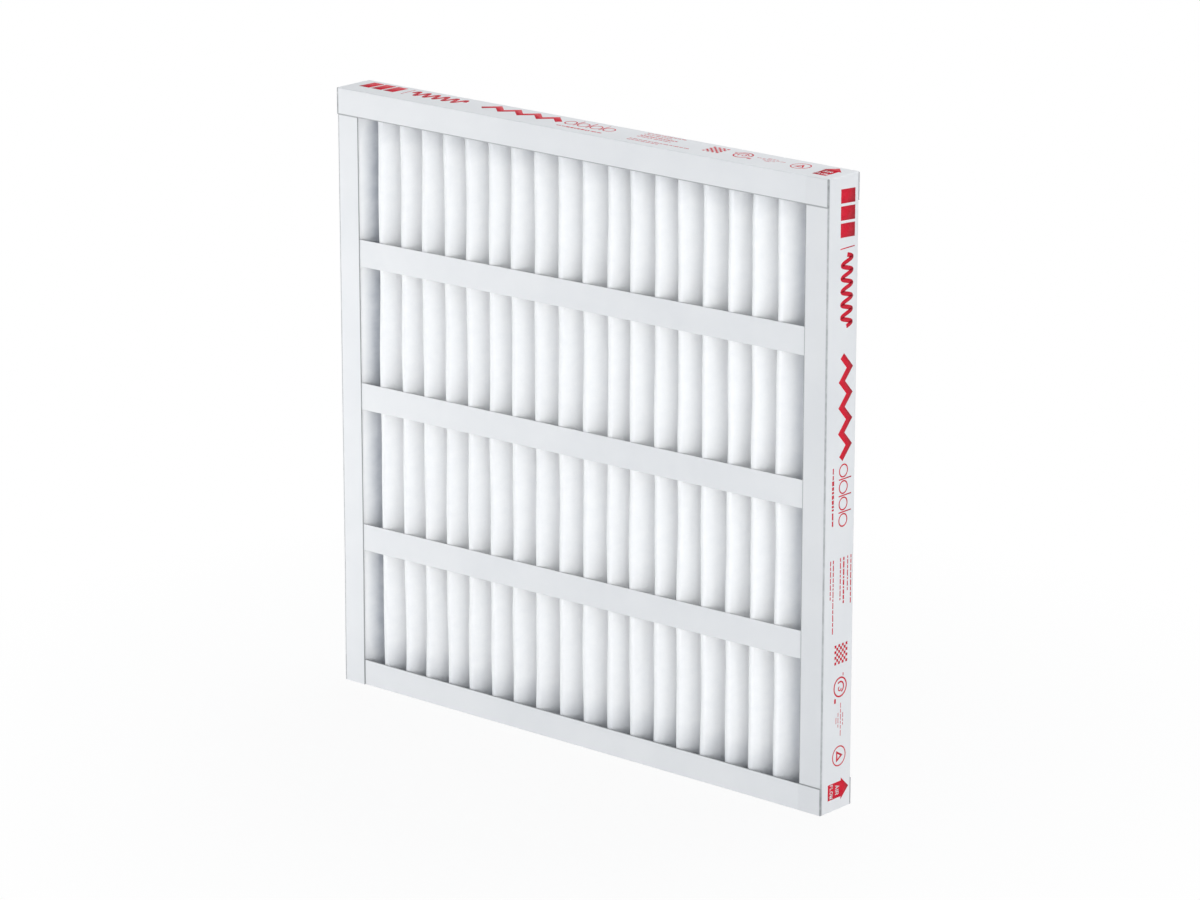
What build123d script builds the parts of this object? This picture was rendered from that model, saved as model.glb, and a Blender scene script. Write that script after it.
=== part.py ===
from build123d import *
from math import asin, atan2, degrees, hypot, tan
import os

# Pleated panel air filter of the 24 x 24 x 2 inch class, at its actual size.
# X runs across the face, Y from the front face (-Y) to the back face (+Y), and Z up.
# The origin is the middle of the bottom edge, on which the panel stands.

# Panel
PANEL_WIDTH = 597.0
PANEL_HEIGHT = 597.0
PANEL_DEPTH = 44.5

# Frame: one strip of coated board, folded to a channel and wrapped round the pleated media
BOARD_THICKNESS = 0.7
FLANGE_WIDTH = 26.0
FLANGE_FOLD_INSIDE_RADIUS = 0.4
CORNER_FOLD_OUTSIDE_RADIUS = 1.2
LAP_CLIMB_LENGTH = 90.0  # over this length a flange climbs by one board to lap its neighbour
GLUE_TAB_LENGTH = 25.0
GLUE_TAB_SIDE_GAP = 1.0

# Media: one sheet of nonwoven, folded into pleats that stand across the panel
MEDIA_THICKNESS = 1.6
NOMINAL_PLEAT_PITCH = 28.7
PLEAT_TIP_RADIUS = 2.6  # of the sheet's middle
END_LEG_LEAN = 8.5  # from the last fold to the side of the pack, on average
PACK_OFFSET = -3.0  # the pack sits this far off the middle, as it was glued in

# Straps: three strips of board across each face, their ends under the side flanges
STRAP_ROWS = ("bottom", "middle", "top")
STRAP_WIDTH = 26.5
STRAP_THICKNESS = 0.7
STRAP_RISE = 8.0  # from the left end to the right end
STRAP_END_GAP = 4.0  # from a strap's end to the side of the frame

# Hot melt glue
STRAP_BEAD_WIDTH = 4.0
STRAP_BEAD_THICKNESS = 0.4
STRAP_BEAD_END_GAP = 8.0  # from a bead's end to the strap's end
EDGE_GLUE_THICKNESS = 0.8
EDGE_GLUE_SIDE_GAP = 1.0  # from an edge band to the flanges beside it

# The frame's inside, behind two boards where one flange laps another
INNER_WIDTH = PANEL_WIDTH - 2 * BOARD_THICKNESS
INNER_HALF_DEPTH = PANEL_DEPTH / 2 - 2 * BOARD_THICKNESS
INNER_FLOOR = BOARD_THICKNESS
INNER_CEILING = PANEL_HEIGHT - BOARD_THICKNESS

# The pack of pleats, between the edge bands and between the strap beads
PACK_WIDTH = INNER_WIDTH - 2 * EDGE_GLUE_THICKNESS
PACK_HALF_DEPTH = INNER_HALF_DEPTH - STRAP_THICKNESS - STRAP_BEAD_THICKNESS
PACK_BOTTOM = INNER_FLOOR + EDGE_GLUE_THICKNESS
PACK_TOP = INNER_CEILING - BOARD_THICKNESS - EDGE_GLUE_THICKNESS
PLEAT_COUNT = max(2, round((PACK_WIDTH - 2 * END_LEG_LEAN) / NOMINAL_PLEAT_PITCH))
PLEAT_PITCH = (PACK_WIDTH - 2 * END_LEG_LEAN) / PLEAT_COUNT


def block(x_range, y_range, z_range):
    """A block between two limits on each axis."""
    corner = (x_range[0], y_range[0], z_range[0])
    size = (x_range[1] - x_range[0], y_range[1] - y_range[0], z_range[1] - z_range[0])
    return Pos(*corner) * Box(*size, align=Align.MIN)


def channel_section(sunk, station):
    """The folded channel across one leg, its flanges sunk below the panel's faces."""
    outside = PANEL_DEPTH / 2 - sunk
    inside = outside - BOARD_THICKNESS
    web_inside = BOARD_THICKNESS
    outer_line = FilletPolyline(
        (FLANGE_WIDTH, -outside),
        (0, -outside),
        (0, outside),
        (FLANGE_WIDTH, outside),
        radius=FLANGE_FOLD_INSIDE_RADIUS + BOARD_THICKNESS,
    )
    inner_line = FilletPolyline(
        (FLANGE_WIDTH, -inside),
        (web_inside, -inside),
        (web_inside, inside),
        (FLANGE_WIDTH, inside),
        radius=FLANGE_FOLD_INSIDE_RADIUS,
    )
    front_edge = Line((FLANGE_WIDTH, -outside), (FLANGE_WIDTH, -inside))
    back_edge = Line((FLANGE_WIDTH, outside), (FLANGE_WIDTH, inside))
    return Pos(0, 0, station) * make_face([outer_line, inner_line, front_edge, back_edge])


def leg(length, sunk_at_start, sunk_at_end):
    """One side of the frame along +Z, its web on X = 0 and its flanges towards +X."""
    if sunk_at_start == sunk_at_end:
        return extrude(channel_section(sunk_at_start, 0), length)
    lap = FLANGE_WIDTH
    if sunk_at_start < sunk_at_end:
        climb = (lap, lap + LAP_CLIMB_LENGTH)
    else:
        climb = (length - lap - LAP_CLIMB_LENGTH, length - lap)
    stations = (
        (sunk_at_start, 0),
        (sunk_at_start, climb[0]),
        (sunk_at_end, climb[1]),
        (sunk_at_end, length),
    )
    return loft([channel_section(sunk, station) for sunk, station in stations], ruled=True)


def glue_tab():
    """The strip's free end, folded in at the top right corner and glued under the top."""
    half_width = INNER_HALF_DEPTH - GLUE_TAB_SIDE_GAP
    right = INNER_WIDTH / 2
    return block(
        (right - GLUE_TAB_LENGTH, right),
        (-half_width, half_width),
        (INNER_CEILING - BOARD_THICKNESS, INNER_CEILING),
    )


def frame():
    """The wrapped strip: the bottom laps the right, the left the bottom, the top both sides."""
    under = BOARD_THICKNESS
    left = Pos(-PANEL_WIDTH / 2, 0, 0) * leg(PANEL_HEIGHT, 0, under)
    right = Pos(PANEL_WIDTH / 2, 0, 0) * Rot(0, 0, 180) * leg(PANEL_HEIGHT, under, under)
    bottom = Pos(PANEL_WIDTH / 2, 0, 0) * Rot(0, -90, 0) * leg(PANEL_WIDTH, 0, under)
    top = Pos(-PANEL_WIDTH / 2, 0, PANEL_HEIGHT) * Rot(0, 90, 0) * leg(PANEL_WIDTH, 0, 0)
    wrapped = right + bottom + left + top + glue_tab()
    outline = RectangleRounded(PANEL_WIDTH, PANEL_HEIGHT, CORNER_FOLD_OUTSIDE_RADIUS)
    upright = Plane((0, 0, PANEL_HEIGHT / 2), x_dir=(1, 0, 0), z_dir=(0, 1, 0))
    return wrapped & extrude(upright * outline, PANEL_DEPTH / 2, both=True)


def pleat_line():
    """The folded sheet's middle, seen from above: flanks joined by round tips."""
    half_pitch = PLEAT_PITCH / 2
    tip_centre = PACK_HALF_DEPTH - MEDIA_THICKNESS / 2 - PLEAT_TIP_RADIUS
    between_tips = hypot(half_pitch, 2 * tip_centre)
    flank_angle = atan2(half_pitch, 2 * tip_centre) - asin(2 * PLEAT_TIP_RADIUS / between_tips)
    apex = half_pitch / 2 / tan(flank_angle)
    first_fold = PACK_OFFSET - PLEAT_COUNT * half_pitch
    folds = [
        (first_fold + step * half_pitch, -apex if step % 2 else apex)
        for step in range(2 * PLEAT_COUNT + 1)
    ]
    wall = PACK_WIDTH / 2 - MEDIA_THICKNESS / 2
    left_bend = apex - (folds[0][0] + wall) / tan(flank_angle)
    right_bend = apex - (wall - folds[-1][0]) / tan(flank_angle)
    front_end = MEDIA_THICKNESS / 2 - PACK_HALF_DEPTH
    left_end = [(-wall, front_end), (-wall, left_bend)]
    right_end = [(wall, right_bend), (wall, front_end)]
    return FilletPolyline(*left_end, *folds, *right_end, radius=PLEAT_TIP_RADIUS)


def pleated_media():
    """The sheet at its full thickness, from the bottom edge band to the top one."""
    sheet = make_face(offset(pleat_line(), MEDIA_THICKNESS / 2, side=Side.BOTH).edges())
    return Pos(0, 0, PACK_BOTTOM) * extrude(sheet, PACK_TOP - PACK_BOTTOM)


def strap_place(row, face):
    """The middle of a strap, between equal openings, turned by its rise; face is -1 or 1."""
    clear_height = PANEL_HEIGHT - 2 * FLANGE_WIDTH
    openings = len(STRAP_ROWS) + 1
    opening = (clear_height - len(STRAP_ROWS) * STRAP_WIDTH) / openings
    height = FLANGE_WIDTH + opening + STRAP_WIDTH / 2 + row * (opening + STRAP_WIDTH)
    strap_run = INNER_WIDTH - 2 * STRAP_END_GAP
    tilt = degrees(atan2(STRAP_RISE, strap_run))
    depth = INNER_HALF_DEPTH - STRAP_THICKNESS
    return Pos(0, face * depth, height) * Rot(0, -tilt, 0)


def strap(row, face):
    """One strip of board, its outer face against the side flanges."""
    length = INNER_WIDTH - 2 * STRAP_END_GAP
    outward = (0, STRAP_THICKNESS) if face > 0 else (-STRAP_THICKNESS, 0)
    flat = block((-length / 2, length / 2), outward, (-STRAP_WIDTH / 2, STRAP_WIDTH / 2))
    return strap_place(row, face) * flat


def strap_bead(row, face):
    """The glue between a strap and the pleat tips behind it."""
    length = INNER_WIDTH - 2 * STRAP_END_GAP - 2 * STRAP_BEAD_END_GAP
    inward = (-STRAP_BEAD_THICKNESS, 0) if face > 0 else (0, STRAP_BEAD_THICKNESS)
    half_bead = STRAP_BEAD_WIDTH / 2
    bead = block((-length / 2, length / 2), inward, (-half_bead, half_bead))
    return strap_place(row, face) * bead


def edge_glue():
    """The four bands that seal the pack's edges to the frame, by name."""
    half_band = INNER_HALF_DEPTH - EDGE_GLUE_SIDE_GAP
    across = (-INNER_WIDTH / 2, INNER_WIDTH / 2)
    deep = (-half_band, half_band)
    upright = (PACK_BOTTOM, PACK_TOP)
    return {
        "edge_glue_bottom": block(across, deep, (INNER_FLOOR, PACK_BOTTOM)),
        "edge_glue_top": block(across, deep, (PACK_TOP, INNER_CEILING)) - glue_tab(),
        "edge_glue_left": block((-INNER_WIDTH / 2, -PACK_WIDTH / 2), deep, upright),
        "edge_glue_right": block((PACK_WIDTH / 2, INNER_WIDTH / 2), deep, upright),
    }


def pieces():
    """Every piece of the filter by name."""
    found = {"frame": frame(), "pleated_media": pleated_media()}
    for side, face in (("front", -1), ("back", 1)):
        for row, name in enumerate(STRAP_ROWS):
            found[f"strap_{side}_{name}"] = strap(row, face)
            found[f"strap_bead_{side}_{name}"] = strap_bead(row, face)
    found.update(edge_glue())
    return found


os.makedirs("parts", exist_ok=True)
for piece_name, piece in pieces().items():
    export_step(piece, f"parts/{piece_name}.step")
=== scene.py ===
import math

import bpy
import numpy as np
from mathutils import Matrix, Vector


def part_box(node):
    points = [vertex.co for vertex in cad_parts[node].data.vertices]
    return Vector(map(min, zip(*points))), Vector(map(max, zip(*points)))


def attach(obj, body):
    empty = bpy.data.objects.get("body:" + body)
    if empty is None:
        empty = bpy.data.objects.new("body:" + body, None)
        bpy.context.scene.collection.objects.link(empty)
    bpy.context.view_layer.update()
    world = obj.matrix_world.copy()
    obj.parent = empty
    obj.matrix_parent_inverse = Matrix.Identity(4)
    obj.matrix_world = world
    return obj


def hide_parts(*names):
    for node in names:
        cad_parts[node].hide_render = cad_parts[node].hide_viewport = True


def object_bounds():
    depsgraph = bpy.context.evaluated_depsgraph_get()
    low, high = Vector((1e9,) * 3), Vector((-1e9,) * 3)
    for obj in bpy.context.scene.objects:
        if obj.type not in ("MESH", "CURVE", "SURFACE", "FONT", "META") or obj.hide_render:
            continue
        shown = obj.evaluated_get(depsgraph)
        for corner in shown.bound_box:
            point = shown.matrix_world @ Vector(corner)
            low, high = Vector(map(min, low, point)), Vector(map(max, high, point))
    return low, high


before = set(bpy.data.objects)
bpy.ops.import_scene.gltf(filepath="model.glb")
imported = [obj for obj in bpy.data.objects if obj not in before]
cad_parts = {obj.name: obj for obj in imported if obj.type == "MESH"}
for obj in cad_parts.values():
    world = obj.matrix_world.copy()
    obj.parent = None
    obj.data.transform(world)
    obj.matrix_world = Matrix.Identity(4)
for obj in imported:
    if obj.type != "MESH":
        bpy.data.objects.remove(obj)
cad_low, cad_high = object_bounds()

MM = 0.001

# The panel, as the frame gives it
PANEL_WIDTH = cad_high.x - cad_low.x
PANEL_DEPTH = cad_high.y - cad_low.y
PANEL_HEIGHT = cad_high.z - cad_low.z
FLANGE_WIDTH = 26 * MM

# The board: its coated side from dull to bright, its raw back, and the grey of its core, also used
# as painted shade along cut edges and folds
BOARD_DULL = (0.76, 0.77, 0.785, 1)
BOARD_BRIGHT = (0.797, 0.804, 0.814, 1)
BOARD_BACK = (0.33, 0.335, 0.34, 1)
BOARD_CORE_AND_SHADE = (0.24, 0.25, 0.26, 1)
BOARD_ROUGHNESS = 0.5
FIBRE_RELIEF = 0.015 * MM

# A flange lies within FLANGE_LAYER of the front or the back, a fold is crushed and painted
# with shade from FOLD_REACH in, and the right flange leans in by RIGHT_FLANGE_LEAN
FLANGE_LAYER = 1.2 * MM
FOLD_REACH = 2.0 * MM
RIGHT_FLANGE_LEAN = 0.13

# Painted shade in the sheet: its grey, and where it is painted. Each pair is where it starts and
# where it is full: in from the panel's sides, off the middle of its depth, in from the rims.
PAINTED_SHADE_GREY = (0.52, 0.545, 0.59, 1)
SHADE_BY_SIDES = (51 * MM, 42 * MM)
SHADE_BY_MIDDLE = (16 * MM, 2 * MM)
SHADE_BY_RIMS = (50 * MM, 16 * MM)
SHADE_MOST_AT_RIMS = 0.62


# Camera and light -----------------------------------------------------------------------------


def add_camera(azimuth, elevation, lens, distance, right, up):
    """An upright camera that looks at the panel: back from its middle by distance along
    (azimuth, elevation), then slid right and up in its own picture plane."""
    a, e = math.radians(azimuth), math.radians(elevation)
    back = Vector((math.sin(a) * math.cos(e), -math.cos(a) * math.cos(e), math.sin(e)))
    across = Vector((math.cos(a), math.sin(a), 0))
    upward = back.cross(across)
    middle = Vector((0, 0, PANEL_HEIGHT / 2))
    data = bpy.data.cameras.new("camera")
    data.lens = lens
    data.sensor_width = 36
    data.clip_start, data.clip_end = 0.1, 100
    camera = bpy.data.objects.new("camera", data)
    camera.location = middle + distance * back + right * across + up * upward
    camera.rotation_mode = "QUATERNION"
    camera.rotation_quaternion = Matrix((across, upward, back)).transposed().to_quaternion()
    bpy.context.scene.collection.objects.link(camera)
    bpy.context.scene.camera = camera


def add_softbox(name, place, aim, size, power, colour):
    """A flat area lamp at a place, turned to a point, that the camera doesn't see."""
    data = bpy.data.lights.new(name, "AREA")
    data.shape = "RECTANGLE"
    data.size, data.size_y = size
    data.energy = power
    data.color = colour
    lamp = bpy.data.objects.new(name, data)
    lamp.location = place
    lamp.rotation_mode = "QUATERNION"
    lamp.rotation_quaternion = (Vector(aim) - Vector(place)).to_track_quat("-Z", "Y")
    lamp.visible_camera = False
    bpy.context.scene.collection.objects.link(lamp)


def add_lamps():
    """One lamp over the panel, a wide one that rakes the pleats from the right front, a small
    one close to the left flange, and one behind that shines through the sheet."""
    middle = (0, 0, 0.3)
    add_softbox("overhead", (0.1, 0.6, 1.9), (0, 0, 0.5), (2.0, 1.2), 14.5, (1, 1, 1))
    add_softbox(
        "wide_right_front", (3.02, -2.62, 0.85), middle, (4.2, 1.5), 105, (0.985, 0.99, 0.99)
    )
    add_softbox("close_left", (-0.8, -0.6, 0.25), (-0.1, 0, 0.28), (0.5, 0.6), 2.6, (1, 0.99, 0.98))
    add_softbox("behind", (-2.0, 2.6, 0.35), middle, (2.0, 0.7), 22, (1, 1, 1))


# Node helpers ---------------------------------------------------------------------------------


class Paint:
    """A material whose nodes are added one by one, each with its values and its links."""

    def __init__(self, name):
        self.material = bpy.data.materials.new(name)
        self.material.use_nodes = True
        self.tree = self.material.node_tree
        self.shader = self.tree.nodes["Principled BSDF"]

    def node(self, kind, **inputs):
        made = self.tree.nodes.new(kind)
        self.set(made, **inputs)
        return made

    def set(self, node, **inputs):
        """Sets a node's own settings, and its sockets by name or, as _0, by number."""
        for key, value in inputs.items():
            if hasattr(node, key) and key not in node.inputs:
                setattr(node, key, value)
                continue
            socket = node.inputs[int(key[1:]) if key[0] == "_" else key.replace("_", " ")]
            if isinstance(value, bpy.types.NodeSocket):
                self.tree.links.new(value, socket)
            else:
                socket.default_value = value

    def place(self):
        """Object coordinates, in metres."""
        return self.node("ShaderNodeTexCoord").outputs["Object"]

    def sheet_place(self, scale=(1, 1, 1)):
        """The piece's own UV map in metres, stretched by scale."""
        coordinates = self.node("ShaderNodeTexCoord").outputs["UV"]
        return self.node("ShaderNodeMapping", Vector=coordinates, Scale=scale).outputs[0]

    def noise(self, where, scale, detail=3.0, roughness=0.5):
        return self.node(
            "ShaderNodeTexNoise", Vector=where, Scale=scale, Detail=detail, Roughness=roughness
        ).outputs["Fac"]

    def math(self, operation, *values):
        made = self.node("ShaderNodeMath", operation=operation)
        self.set(made, **{f"_{i}": value for i, value in enumerate(values)})
        return made.outputs[0]

    def vector(self, operation, *values):
        """A vector sum, whose result is its output Vector or Value."""
        made = self.node("ShaderNodeVectorMath", operation=operation)
        self.set(made, **{f"_{i}": value for i, value in enumerate(values)})
        return made

    def ramp(self, value, low, high, to_low=0.0, to_high=1.0):
        """value stretched from low..high to to_low..to_high, and held at the ends."""
        made = self.node("ShaderNodeMapRange", Value=value)
        self.set(made, _1=low, _2=high, _3=to_low, _4=to_high)
        return made.outputs[0]

    def split(self, vector):
        """The x, y and z of a vector."""
        return self.node("ShaderNodeSeparateXYZ", Vector=vector).outputs

    def all_of(self, *shares):
        """The product of shares."""
        total = shares[0]
        for share in shares[1:]:
            total = self.math("MULTIPLY", total, share)
        return total

    def any_of(self, *shares):
        """The largest of shares."""
        total = shares[0]
        for share in shares[1:]:
            total = self.math("MAXIMUM", total, share)
        return total

    def mix(self, share, a, b):
        made = self.node("ShaderNodeMix", data_type="RGBA")
        self.set(made, _0=share, _6=a, _7=b)
        return made.outputs[2]

    def bump(self, height, distance, strength=1.0):
        return self.node(
            "ShaderNodeBump", Height=height, Distance=distance, Strength=strength
        ).outputs[0]


# Materials ------------------------------------------------------------------------------------


def coated_board():
    """Clay-coated news board: white outside with a faint cloudy mottle and fibres, raw grey on
    the side that faces the filter, grey at the flanges' cut edges and crushed along the side
    folds, with painted shade widening the edges' grey lines and darkening the folds. The relief
    is the fibres' and, on the right flange, the lean's, which is RIGHT_FLANGE_LEAN times the
    distance from the flange's inner edge."""
    paint = Paint("coated_board")
    here = paint.place()
    x, y, z = paint.split(here)
    side = paint.math("ABSOLUTE", x)
    depth = paint.math("ABSOLUTE", y)
    cloudy = paint.noise(here, 18, 3)
    fine = paint.noise(here, 700, 4, 0.6)
    patchy = paint.ramp(paint.noise(here, 160, 3, 0.6), 0.3, 0.7, 0.6, 1.0)

    def near(value, place, clear, full):
        """1 within full of a place, 0 beyond clear."""
        off = paint.math("ABSOLUTE", paint.math("SUBTRACT", value, place))
        return paint.ramp(off, clear, full)

    def over(value, place):
        return paint.math("GREATER_THAN", value, place)

    def under(value, place):
        return paint.math("LESS_THAN", value, place)

    inner, upper = PANEL_WIDTH / 2 - FLANGE_WIDTH, PANEL_HEIGHT - FLANGE_WIDTH
    # The grey lines at the flanges' inner edges are the raw core at the cut faces and, past it on
    # the front faces, painted shade where the flanges lap and stand off
    left_edge = paint.all_of(near(x, -inner, 0.9 * MM, 0.3 * MM), under(z, upper))
    right_edge = paint.all_of(
        near(x, inner, 0.9 * MM, 0.3 * MM), over(z, FLANGE_WIDTH), under(z, upper)
    )
    top_edge = near(z, upper, 1.1 * MM, 0.4 * MM)
    bottom_edge = paint.all_of(near(z, FLANGE_WIDTH, 0.8 * MM, 0.2 * MM), over(x, -inner))
    on_flange = over(depth, PANEL_DEPTH / 2 - FLANGE_LAYER)
    edges = paint.any_of(left_edge, right_edge, top_edge, bottom_edge)
    core_and_shade_lines = paint.all_of(edges, on_flange, 0.8)
    # The side folds' grey is crushed board and painted shade, in patches, strongest at the front
    # and by the corners
    at_side = paint.ramp(side, PANEL_WIDTH / 2 - FOLD_REACH, PANEL_WIDTH / 2 - FLANGE_LAYER)
    at_face = paint.ramp(depth, PANEL_DEPTH / 2 - FOLD_REACH, PANEL_DEPTH / 2 - FLANGE_LAYER)
    at_corner = paint.ramp(paint.any_of(under(z, FLANGE_WIDTH), over(z, upper)), 0, 1, 0.8, 1.0)
    at_front = paint.ramp(y, 0, -1 * MM, 0.3, 1.0)
    fold = paint.all_of(at_side, at_face, patchy, at_front, at_corner)
    normal = paint.node("ShaderNodeNewGeometry").outputs["True Normal"]
    middle = (0, 0, PANEL_HEIGHT / 2)
    from_middle = paint.vector("SUBTRACT", here, middle).outputs["Vector"]
    outward = paint.vector("DOT_PRODUCT", from_middle, normal).outputs["Value"]
    faces_in = under(outward, 0)
    white = paint.mix(paint.ramp(cloudy, 0.3, 0.7), BOARD_DULL, BOARD_BRIGHT)
    skin = paint.mix(faces_in, white, BOARD_BACK)
    colour = paint.mix(paint.any_of(core_and_shade_lines, fold), skin, BOARD_CORE_AND_SHADE)
    paint.set(paint.shader, Base_Color=colour, Roughness=BOARD_ROUGHNESS)
    # Heights are in millimetres here, and the bump's distance makes them metres
    lean = paint.ramp(x, inner, PANEL_WIDTH / 2, 0, FLANGE_WIDTH / MM * RIGHT_FLANGE_LEAN)
    fibres = paint.math("MULTIPLY", fine, FIBRE_RELIEF / MM)
    height = paint.math("ADD", fibres, paint.all_of(lean, on_flange))
    paint.set(paint.shader, Normal=paint.bump(height, MM))
    return paint.material


def nonwoven():
    """White synthetic wadding: a felted tangle of fibres, denser and thinner in patches, through
    which some of the light passes. Painted shade greys it in the end pleats' depth, and a
    little along the rims that stand in glue."""
    paint = Paint("nonwoven")
    here = paint.sheet_place()
    fibres = paint.noise(paint.sheet_place((1, 0.35, 1)), 900, 5, 0.65)
    cloudy = paint.noise(here, 75, 5, 0.65)
    patches = paint.ramp(paint.math("ADD", cloudy, paint.math("MULTIPLY", fibres, 0.5)), 0.55, 0.95)
    own_white = paint.mix(patches, (0.91, 0.918, 0.93, 1), (0.958, 0.96, 0.962, 1))
    across, depth, up = paint.split(paint.place())
    side, off_middle = paint.math("ABSOLUTE", across), paint.math("ABSOLUTE", depth)
    start, full = SHADE_BY_SIDES
    near_side = paint.ramp(side, PANEL_WIDTH / 2 - start, PANEL_WIDTH / 2 - full)
    at_sides = paint.all_of(near_side, paint.ramp(off_middle, *SHADE_BY_MIDDLE))
    from_rim = paint.math("MINIMUM", up, paint.math("SUBTRACT", PANEL_HEIGHT, up))
    near_rim = paint.ramp(from_rim, *SHADE_BY_RIMS, 0, SHADE_MOST_AT_RIMS)
    uneven = paint.ramp(paint.noise(here, 45, 4, 0.6), 0.3, 0.7, 0.55, 1.0)
    # Painted shade: grey on the end pleats' depth and along the rims, where the frame keeps light
    # off the sheet
    painted_shade = paint.all_of(paint.any_of(at_sides, near_rim), uneven)
    colour = paint.mix(painted_shade, own_white, PAINTED_SHADE_GREY)
    paint.set(paint.shader, Base_Color=colour, Roughness=0.95, Specular_IOR_Level=0.2)
    paint.set(paint.shader, Subsurface_Weight=0.35, Subsurface_Radius=(1, 1, 1))
    paint.set(paint.shader, Subsurface_Scale=3 * MM)
    paint.set(paint.shader, Normal=paint.bump(fibres, 0.25 * MM, 0.5))
    return paint.material


def strap_board():
    """The straps' board: coated outside, with the same mottle, and raw grey behind."""
    paint = Paint("strap_board")
    here = paint.place()
    depth = paint.split(here)["Y"]
    facing = paint.split(paint.node("ShaderNodeNewGeometry").outputs["True Normal"])["Y"]
    faces_in = paint.math("LESS_THAN", paint.math("MULTIPLY", depth, facing), 0)
    cloudy = paint.noise(here, 26, 4)
    white = paint.mix(paint.ramp(cloudy, 0.3, 0.7), BOARD_DULL, BOARD_BRIGHT)
    colour = paint.mix(faces_in, white, BOARD_BACK)
    paint.set(paint.shader, Base_Color=colour, Roughness=BOARD_ROUGHNESS)
    paint.set(paint.shader, Normal=paint.bump(paint.noise(here, 700, 4, 0.6), 0.03 * MM, 0.5))
    return paint.material


def hot_melt(name, thin, thick):
    """Hot melt glue with a soft gloss, its colour drifting from thin to thick over slow ripples."""
    paint = Paint(name)
    ripples = paint.noise(paint.place(), 160, 2)
    colour = paint.mix(paint.ramp(ripples, 0.35, 0.65), thin, thick)
    paint.set(paint.shader, Base_Color=colour, Roughness=0.35)
    paint.set(paint.shader, Normal=paint.bump(ripples, 0.2 * MM, 0.6))
    return paint.material


def print_ink():
    """Red flexographic ink, a little uneven where the board's fibres show through."""
    paint = Paint("print_ink")
    speckle = paint.noise(paint.place(), 900, 3, 0.6)
    colour = paint.mix(paint.ramp(speckle, 0.4, 0.8), (0.57, 0.003, 0.02, 1), (0.66, 0.02, 0.05, 1))
    paint.set(paint.shader, Base_Color=colour, Roughness=0.6, Specular_IOR_Level=0.25)
    return paint.material


# Meshes ---------------------------------------------------------------------------------------


def new_mesh_object(name, points, faces, sharp_angle=None):
    """A mesh from whole arrays: points (n, 3) and faces, a list of index arrays of one width
    each. Its edges are sharp past sharp_angle degrees, and its faces flat without it."""
    mesh = bpy.data.meshes.new(name)
    mesh.vertices.add(len(points))
    mesh.vertices.foreach_set("co", np.asarray(points, np.float32).ravel())
    corners = np.concatenate([block.ravel() for block in faces])
    sizes = np.concatenate([np.full(len(block), block.shape[1]) for block in faces])
    mesh.loops.add(len(corners))
    mesh.loops.foreach_set("vertex_index", corners.astype(np.int32))
    mesh.polygons.add(len(sizes))
    starts = np.concatenate([[0], np.cumsum(sizes)[:-1]])
    mesh.polygons.foreach_set("loop_start", starts.astype(np.int32))
    mesh.polygons.foreach_set("loop_total", sizes.astype(np.int32))
    mesh.update(calc_edges=True)
    mesh.validate()
    if sharp_angle is not None:
        mesh.shade_smooth()
        mesh.set_sharp_from_angle(angle=math.radians(sharp_angle))
    made = bpy.data.objects.new(name, mesh)
    bpy.context.scene.collection.objects.link(made)
    return made


# The pleated sheet ----------------------------------------------------------------------------

SHEET_THICKNESS = 1.6 * MM
TIP_RADIUS = 2.6 * MM
END_LEG_LEAN = 8.5 * MM
PACK_OFFSET = -3.0 * MM
NOMINAL_PITCH = 28.7 * MM

# How uneven the folds are: they drift along the pack in waves of DRIFT_PLEATS pleats that
# fade over DRIFT_FADE, wander up it, stand a little off by themselves, and the last is pushed
# over. The tips are up to TIP_DROP shallow, and the flanks bow by about FLANK_BOW.
DRIFT, DRIFT_PLEATS, DRIFT_FADE = 1.9 * MM, 10.5, 14
WANDER = 1.1 * MM
OWN_PLACE = 0.6 * MM
LAST_FOLD_PUSH, LAST_FOLD_REACH = 2.4 * MM, 1.2
TIP_DROP = 0.35 * MM
FLANK_BOW = 0.8 * MM

sheet_low, sheet_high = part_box("pleated_media")
PACK_WIDTH = sheet_high.x - sheet_low.x
PLEATS = round((PACK_WIDTH - 2 * END_LEG_LEAN) / NOMINAL_PITCH)
PITCH = (PACK_WIDTH - 2 * END_LEG_LEAN) / PLEATS

# The sheet's grid: rows up its height, and steps round each half tip and along each flank
ROWS = 49
TIP_STEPS = 5
FLANK_STEPS = 9


def slow_wander(rows, count, waves, seed):
    """For each of count columns, the mean of a few sines of the height in random phase, in
    -1..1: wander(z) = mean over waves w of sin(2 pi w z + phase), each w a little off."""
    luck = np.random.default_rng(seed)
    phase = luck.uniform(0, 2 * np.pi, (len(waves), count, 1))
    speed = np.asarray(waves)[:, None, None] * luck.uniform(0.85, 1.15, (len(waves), count, 1))
    return np.sin(2 * np.pi * speed * rows + phase).mean(0)


def fold_places(rows):
    """The X of every fold at every height: even folds at the back, odd ones at the front. They
    start evenly spaced, drift as a fading cosine along the pack, and wander a little up it."""
    fold = np.arange(-1, 2 * PLEATS + 2)
    even = PACK_OFFSET + (fold - PLEATS) * PITCH / 2
    pleat = (fold - 1) / 2
    fading = np.exp(-np.abs(pleat - 1) / DRIFT_FADE)
    drift = DRIFT * np.cos(2 * np.pi * (pleat - 1) / DRIFT_PLEATS) * fading
    last = LAST_FOLD_PUSH * np.exp(-(((fold - (2 * PLEATS - 1)) / LAST_FOLD_REACH) ** 2))
    ends = np.clip(np.minimum(fold, 2 * PLEATS - fold) / 2.0, 0, 1)
    luck = np.random.default_rng(7)
    own = luck.normal(0, OWN_PLACE, len(fold)) * ends
    wander = slow_wander(rows, len(fold), (1.3, 2.9, 5.1), 11) * WANDER * ends[:, None]
    return (even + drift * ends + last + own)[:, None] + wander


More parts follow.
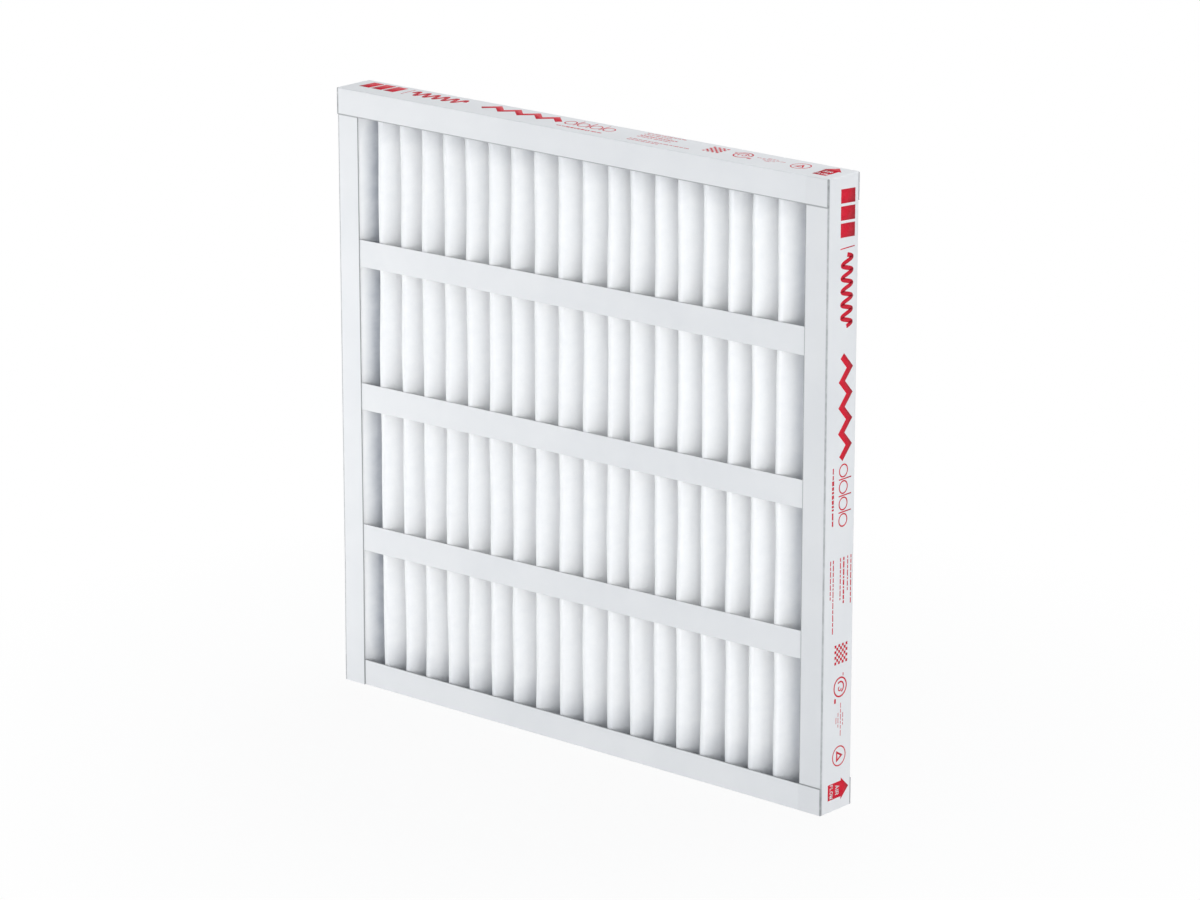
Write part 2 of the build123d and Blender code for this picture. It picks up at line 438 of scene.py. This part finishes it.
def sheet_line(rows):
    """The sheet's middle in plan at each height: (points along, rows) arrays of X and Y.

    Between one fold and the next the line is an arc of TIP_RADIUS, a straight flank on the
    circles' inner tangent, and the mirrored arc. With dx along the pack from one tip's centre
    to the next and dy across it, the flank leans by atan(dx / dy) - asin(2r / hypot(dx, dy)).
    It then bows along the pack by FLANK_BOW times its own share times sin(pi s) squared."""
    folds = fold_places(rows)
    count = len(folds) - 1
    half = sheet_high.y - SHEET_THICKNESS / 2 - TIP_RADIUS
    shallow = TIP_DROP * (0.5 + 0.5 * slow_wander(rows, len(folds), (2.1, 4.3), 23))
    side = np.where(np.arange(len(folds)) % 2 == 1, 1.0, -1.0)[:, None]
    centre_y = side * (half - shallow)
    dx = folds[1:] - folds[:-1]
    dy = np.abs(centre_y[1:] - centre_y[:-1])
    lean = np.arctan2(dx, dy) - np.arcsin(2 * TIP_RADIUS / np.hypot(dx, dy))
    sweep = np.linspace(0, 1, TIP_STEPS + 1)[:, None, None] * (np.pi / 2 - lean)
    from_side, to_side = side[:-1], side[1:]
    first_x = folds[:-1] + TIP_RADIUS * np.sin(sweep)
    first_y = centre_y[:-1] + TIP_RADIUS * from_side * np.cos(sweep)
    second_x = folds[1:] - TIP_RADIUS * np.sin(sweep[::-1])
    second_y = centre_y[1:] + TIP_RADIUS * to_side * np.cos(sweep[::-1])
    share = np.linspace(0, 1, FLANK_STEPS + 2)[1:-1, None, None]
    flank_x = first_x[-1] + share * (second_x[0] - first_x[-1])
    flank_y = first_y[-1] + share * (second_y[0] - first_y[-1])
    luck = np.random.default_rng(31)
    belly = luck.uniform(-0.5, 0.9, (count, 1)) + 0.6 * slow_wander(rows, count, (1.7, 3.7), 37)
    bow = FLANK_BOW * belly * np.sin(np.pi * share) ** 2
    flank_x = flank_x + bow
    x = np.concatenate([first_x, flank_x, second_x[:-1]])
    y = np.concatenate([first_y, flank_y, second_y[:-1]])
    steps = len(x)
    x = x.transpose(1, 0, 2).reshape(count * steps, -1)
    y = y.transpose(1, 0, 2).reshape(count * steps, -1)
    return x, y


def along(x, y):
    """Distance along each row's line, from 0."""
    step = np.hypot(np.diff(x, axis=0), np.diff(y, axis=0))
    return np.concatenate([np.zeros((1, x.shape[1])), np.cumsum(step, 0)])


def pleated_sheet():
    """The folded nonwoven: the plan line set off by half the thickness on each side along its
    normal, swept up the height, with the four rims closed. Past the end folds the line is held
    at the walls of the pack. Also gives the line's length."""
    rows = np.linspace(0, 1, ROWS)[None, :]
    x, y = sheet_line(rows)
    wall = PACK_WIDTH / 2 - SHEET_THICKNESS / 2
    x = np.clip(x, -wall, wall)
    slope_x, slope_y = np.gradient(x, axis=0), np.gradient(y, axis=0)
    length = np.maximum(np.hypot(slope_x, slope_y), 1e-9)
    normal_x, normal_y = -slope_y / length, slope_x / length
    z = np.broadcast_to(sheet_low.z + rows * (sheet_high.z - sheet_low.z), x.shape)
    half = SHEET_THICKNESS / 2
    shells = [
        np.stack([x + s * normal_x * half, y + s * normal_y * half, z], -1) for s in (1, -1)
    ]
    count, high = x.shape
    number = np.arange(2 * count * high).reshape(2, count, high)

    def quads(a, b, c, d):
        return np.stack([a.ravel(), b.ravel(), c.ravel(), d.ravel()], 1)

    one, two = number
    faces = [
        quads(one[:-1, :-1], one[:-1, 1:], one[1:, 1:], one[1:, :-1]),
        quads(two[:-1, :-1], two[1:, :-1], two[1:, 1:], two[:-1, 1:]),
        quads(one[:-1, 0], one[1:, 0], two[1:, 0], two[:-1, 0]),
        quads(one[:-1, -1], two[:-1, -1], two[1:, -1], one[1:, -1]),
        quads(one[0, :-1], two[0, :-1], two[0, 1:], one[0, 1:]),
        quads(one[-1, :-1], one[-1, 1:], two[-1, 1:], two[-1, :-1]),
    ]
    made = new_mesh_object(
        "pleated_sheet", np.concatenate(shells).reshape(-1, 3), faces, sharp_angle=45
    )
    distance = along(x, y)
    flat = np.stack([distance, z], -1).reshape(-1, 2)
    uv = made.data.uv_layers.new(name="flat_sheet")
    corner = np.empty(len(made.data.loops), np.int32)
    made.data.loops.foreach_get("vertex_index", corner)
    uv.data.foreach_set("uv", np.concatenate([flat, flat])[corner].astype(np.float32).ravel())
    return made, float(distance[-1].mean())


# Print ----------------------------------------------------------------------------------------

INK_THICKNESS = 0.05 * MM
SHORTEST_DASH, LONGEST_DASH, DASH_GAP = 2.0, 6.5, 1.1
LEAST_ROOM = 1.5


def plate(outline):
    """A flat mark: its outline's points in millimetres, along the side and back from the front."""
    return [("plate", np.asarray(outline, float))]


def bar(start, end, low, high, slant=0.0):
    """A four-sided mark, slanted along the side by slant millimetres over its height."""
    return plate([(start, low), (end, low), (end + slant, high), (start + slant, high)])


def ribbon(line, width, closed=False):
    """A line of even width with mitred corners. With n1 and n2 the normals of the stretches that
    meet at a point, the point is set off both ways by width / 2 times (n1 + n2) / (1 + n1.n2)."""
    line = np.asarray(line, float)
    step = np.diff(np.concatenate([line, line[:1]]) if closed else line, axis=0)
    normal = np.stack([-step[:, 1], step[:, 0]], 1) / np.hypot(*step.T)[:, None]
    before = np.roll(normal, 1, 0) if closed else np.concatenate([normal[:1], normal])
    after = normal if closed else np.concatenate([normal, normal[-1:]])
    mitre = (before + after) / (1 + (before * after).sum(1, keepdims=True))
    return [("band", line - mitre * width / 2, line + mitre * width / 2, closed)]


def arc(middle, radius, width, start=0.0, turn=360.0):
    """A round line about a middle: a whole ring, or turn degrees of it from start."""
    closed = turn >= 360
    angle = np.radians(start + np.linspace(0, turn, 49))
    points = np.asarray(middle) + radius * np.stack([np.cos(angle), np.sin(angle)], 1)
    return ribbon(points[:-1] if closed else points, width, closed)


def small_words(start, end, level, height, luck):
    """A row of dashes of uneven length, as small print looks from a step away."""
    marks = []
    at = start
    while at < end - LEAST_ROOM:
        stop = min(at + luck.uniform(SHORTEST_DASH, LONGEST_DASH), end)
        marks += bar(at, stop, level, level + height)
        at = stop + DASH_GAP
    return marks


ARROW_MIDDLE = 577.5
ARROW_SHAFT = 7.7
ARROW_HEAD = 10.6


def filter_marks():
    """The printed row on one side, in plain shapes: blocks, an air wave, a bold pleat line, thin
    rings and bars, small print as dashes, a fine check, ringed signs and a block arrow that
    points the way the air goes. Every place is in millimetres along the side from where the
    row starts, and back from the front face."""
    luck = np.random.default_rng(5)
    marks = []
    for step in range(3):
        marks += bar(12 + 15.6 * step, 25 + 15.6 * step, 18, 38.5, 1.5)
    marks += bar(66.2, 67.2, 18, 38.5)
    wave = np.linspace(0, 1, 121)
    marks += ribbon(np.stack([73 + 66 * wave, 28 + 7 * np.sin(11 * np.pi * wave)], 1), 4.2)
    fold = np.arange(9)
    marks += ribbon(np.stack([165.5 + 12 * fold, np.where(fold % 2, 34, 22.8)], 1), 6.8)
    for step in range(4):
        marks += arc((273 + 15.5 * step, 27), 5.8, 1.3)
    for step in range(3):
        marks += bar(280.2 + 15.5 * step, 281.4 + 15.5 * step, 20.5, 38.5)
    marks += small_words(268, 279, 11.3, 1.5, luck)
    marks += small_words(280, 308, 10.6, 2.8, luck)
    marks += small_words(310, 325, 11.0, 2.0, luck)
    upper_rows = ((39.2, 402, 1.3), (34.4, 388, 1.2), (28.4, 399, 1.9))
    lower_rows = ((23.8, 395, 1.3), (13.4, 427, 1.3), (9.4, 393, 1.2))
    for level, last, height in upper_rows + lower_rows:
        marks += small_words(355, last, level, height, luck)
    cell = 2.7
    for column in range(7):
        for line in range(column % 2, 7, 2):
            at, back = 437 + cell * column, 17.5 + cell * line
            marks += bar(at, at + cell, back, back + cell)
    marks += arc((478.5, 26.5), 9, 1.5)
    marks += arc((478.5, 26.5), 5, 1.5, 20, 200)
    marks += arc((480, 26), 2, 1.2, 200, 250)
    marks += bar(465.5, 468.5, 30, 31.2) + bar(488.5, 493, 18, 20.4)
    sign_rows = ((504, 516, 30.5), (494, 528, 27.2), (503, 517, 23.6), (507, 513, 20.6))
    for start, end, level in sign_rows:
        marks += small_words(start, end, level, 0.8, luck)
    marks += arc((545, 26), 9.3, 1.2)
    corner = np.radians([90, 210, 330])
    triangle = (545, 25.2) + 4.6 * np.stack([np.cos(corner), np.sin(corner)], 1)
    marks += ribbon(triangle, 1.8, closed=True)
    left_half = [(-ARROW_HEAD, 29.3), (-ARROW_SHAFT, 29.3), (-ARROW_SHAFT, 10.3)]
    right_half = [(-across, back) for across, back in reversed(left_half)]
    arrow = left_half + right_half + [(0, 40.6)]
    marks += plate([(ARROW_MIDDLE + across, back) for across, back in arrow])
    return marks


LETTER_STROKES = {
    "A": [[(0, 0), (1.5, 5), (3, 0)], [(0.6, 1.8), (2.4, 1.8)]],
    "I": [[(0.5, 0), (0.5, 5)]],
    "R": [
        [(0, 0), (0, 4.6), (2.4, 4.6), (2.8, 4.1), (2.8, 2.9), (2.4, 2.4), (0, 2.4)],
        [(1.4, 2.4), (2.9, 0)],
    ],
    "F": [[(0, 0), (0, 4.6), (2.7, 4.6)], [(0, 2.5), (2.3, 2.5)]],
    "L": [[(0, 5), (0, 0.4), (2.5, 0.4)]],
    "O": [[(0.9, 0.4), (2.1, 0.4), (3, 1.3), (3, 3.7), (2.1, 4.6), (0.9, 4.6), (0, 3.7), (0, 1.3)]],
    "W": [[(0, 5), (0.9, 0), (1.9, 4), (2.9, 0), (3.8, 5)]],
}
LETTER_WIDTHS = {"A": 3, "I": 1, "R": 3, "F": 2.7, "L": 2.5, "O": 3, "W": 3.8}
LETTER_GAP = 0.95
STROKE_WIDTH = 0.75


def air_flow_words():
    """AIR over FLOW in drawn strokes, bare in the arrow's red."""
    marks = []
    for word, level, size in (("AIR", 21.2, 1.0), ("FLOW", 13.2, 0.88)):
        gaps = LETTER_GAP * (len(word) - 1)
        length = (sum(LETTER_WIDTHS[letter] for letter in word) + gaps) * size
        at = ARROW_MIDDLE - length / 2
        for letter in word:
            for stroke in LETTER_STROKES[letter]:
                line = np.asarray(stroke, float) * size + (at, level)
                marks += ribbon(line, STROKE_WIDTH * size, closed=letter == "O")
            at += (LETTER_WIDTHS[letter] + LETTER_GAP) * size
    return marks


def print_on_side(name, marks, origin, along_side, outward, under=0.0):
    """Marks laid on one side of the panel: point = origin + s along + v back + h outward, as
    closed plates of ink from h = under to h = under + INK_THICKNESS. A band's four rows of
    points are its low and high edge at the foot, then the same two on the face."""
    along_side, outward = np.asarray(along_side, float), np.asarray(outward, float)
    back = np.array([0.0, 1.0, 0.0])
    points, faces, total = [], [], 0

    def lift(flat, height):
        return (
            np.asarray(origin)
            + flat[:, :1] * MM * along_side
            + flat[:, 1:] * MM * back
            + (under + height) * outward
        )

    for mark in marks:
        if mark[0] == "plate":
            flat = mark[1]
            n = len(flat)
            foot, face = np.arange(n) + total, np.arange(n) + total + n
            faces += [face[None, :], foot[None, ::-1]]
            faces.append(np.stack([foot, np.roll(foot, -1), np.roll(face, -1), face], 1))
            points += [lift(flat, 0), lift(flat, INK_THICKNESS)]
            total += 2 * n
            continue
        low, high, closed = mark[1:]
        n = len(low)
        a, b, c, d = (np.arange(n) + total + n * i for i in range(4))
        if closed:
            here = (a, b, c, d)
            ahead = [np.roll(row, -1) for row in here]
        else:
            here = [row[:-1] for row in (a, b, c, d)]
            ahead = [row[1:] for row in (a, b, c, d)]
        faces.append(np.stack([here[2], ahead[2], ahead[3], here[3]], 1))
        faces.append(np.stack([here[0], here[1], ahead[1], ahead[0]], 1))
        faces.append(np.stack([here[0], ahead[0], ahead[2], here[2]], 1))
        faces.append(np.stack([here[1], here[3], ahead[3], ahead[1]], 1))
        if not closed:
            faces.append(np.array([[a[0], c[0], d[0], b[0]]]))
            faces.append(np.array([[a[-1], b[-1], d[-1], c[-1]]]))
        points += [lift(low, 0), lift(high, 0), lift(low, INK_THICKNESS), lift(high, INK_THICKNESS)]
        total += 4 * n
    return new_mesh_object(name, np.concatenate(points), faces)


# Stage ----------------------------------------------------------------------------------------


FLOOR_RADIUS = 40
FADE_START, FADE_END = 0.3, 0.75
GLOW_AT_FOOT = 0.91


def seen_white(tree, shader, glow_kind, share):
    """Mixes a white glow of strength 1 into shader, by share, for what the camera sees directly,
    in gloss or through glass."""
    path = tree.nodes.new("ShaderNodeLightPath")
    total = path.outputs["Is Camera Ray"]
    for ray in ("Is Glossy Ray", "Is Transmission Ray"):
        add = tree.nodes.new("ShaderNodeMath")
        add.operation = "ADD"
        add.use_clamp = True
        tree.links.new(total, add.inputs[0])
        tree.links.new(path.outputs[ray], add.inputs[1])
        total = add.outputs[0]
    part = tree.nodes.new("ShaderNodeMath")
    part.operation = "MULTIPLY"
    tree.links.new(total, part.inputs[0])
    if isinstance(share, bpy.types.NodeSocket):
        tree.links.new(share, part.inputs[1])
    else:
        part.inputs[1].default_value = share
    glow = tree.nodes.new(glow_kind)
    glow.inputs["Color"].default_value = (1, 1, 1, 1)
    glow.inputs["Strength"].default_value = 1
    mixed = tree.nodes.new("ShaderNodeMixShader")
    tree.links.new(part.outputs[0], mixed.inputs[0])
    tree.links.new(shader, mixed.inputs[1])
    tree.links.new(glow.outputs[0], mixed.inputs[2])
    return mixed.outputs[0]


def add_floor():
    """A wide pale floor that fades to plain white from FADE_START to FADE_END away from the
    panel's middle, so only the shadow near its foot shows on it."""
    bpy.ops.mesh.primitive_circle_add(vertices=64, radius=FLOOR_RADIUS, fill_type="NGON")
    floor = bpy.context.object
    floor.name = "floor"
    paint = Paint("pale_floor")
    here = paint.place()
    distance = paint.vector("LENGTH", here).outputs["Value"]
    mottle = paint.ramp(paint.noise(here, 3), 0.3, 0.7)
    colour = paint.mix(mottle, (0.88, 0.88, 0.88, 1), (0.9, 0.9, 0.9, 1))
    paint.set(paint.shader, Base_Color=colour, Roughness=0.9)
    share = paint.ramp(distance, FADE_START, FADE_END, GLOW_AT_FOOT, 1.0)
    out = paint.tree.nodes["Material Output"]
    mixed = seen_white(paint.tree, paint.shader.outputs[0], "ShaderNodeEmission", share)
    paint.tree.links.new(mixed, out.inputs["Surface"])
    floor.data.materials.append(paint.material)


def add_world(strength):
    """Soft even light from all round, and plain white where the camera sees past the floor."""
    world = bpy.data.worlds.new("world")
    bpy.context.scene.world = world
    world.use_nodes = True
    tree = world.node_tree
    sky = tree.nodes["Background"]
    sky.inputs["Color"].default_value = (0.87, 0.93, 1.0, 1)
    sky.inputs["Strength"].default_value = strength
    mixed = seen_white(tree, sky.outputs[0], "ShaderNodeBackground", 1.0)
    tree.links.new(mixed, tree.nodes["World Output"].inputs["Surface"])


# Assembly -------------------------------------------------------------------------------------


def dress(obj, material):
    """Gives a piece its only material."""
    obj.data.materials.clear()
    obj.data.materials.append(material)


def dress_solids(board, straps, bead, band):
    """Gives the frame's solids their materials by the start of their names."""
    looks = (
        ("frame", board, "board"),
        ("strap_bead", bead, "glue"),
        ("strap", straps, "board"),
        ("edge_glue", band, "glue"),
    )
    for name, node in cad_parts.items():
        for start, material, slot in looks:
            if name.startswith(start):
                dress(node, material)
                break


def add_sheet():
    """The folded nonwoven in place of its solid, standing in the bottom band of glue."""
    sheet, length = pleated_sheet()
    dress(sheet, nonwoven())
    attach(sheet, "root")
    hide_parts("pleated_media")


def add_print(ink, board):
    """The marks in ink on the right and the top side, and the arrow's words bare over them."""
    left, right, front, top = cad_low.x, cad_high.x, cad_low.y, cad_high.z
    sides = (
        ("right_side", (right, front, top), (0, 0, -1), (1, 0, 0)),
        ("top_side", (left, front, top), (1, 0, 0), (0, 0, 1)),
    )
    marks, words = filter_marks(), air_flow_words()
    for side, *where in sides:
        printed = print_on_side("print_" + side, marks, *where)
        dress(printed, ink)
        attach(printed, "root")
        bare = print_on_side("arrow_words_" + side, words, *where, under=INK_THICKNESS)
        dress(bare, board)
        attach(bare, "root")


def main():
    bpy.context.scene.view_settings.view_transform = "Standard"
    add_camera(azimuth=40.64, elevation=16.26, lens=149.4, distance=4.671, right=0.0105, up=-0.0105)
    board, straps, ink = coated_board(), strap_board(), print_ink()
    bead = hot_melt("strap_bead_melt", (0.74, 0.72, 0.66, 1), (0.84, 0.83, 0.79, 1))
    band = hot_melt("edge_band_melt", (0.5, 0.5, 0.49, 1), (0.64, 0.64, 0.63, 1))
    dress_solids(board, straps, bead, band)
    add_sheet()
    add_print(ink, board)
    add_lamps()
    add_world(0.34)
    add_floor()


main()
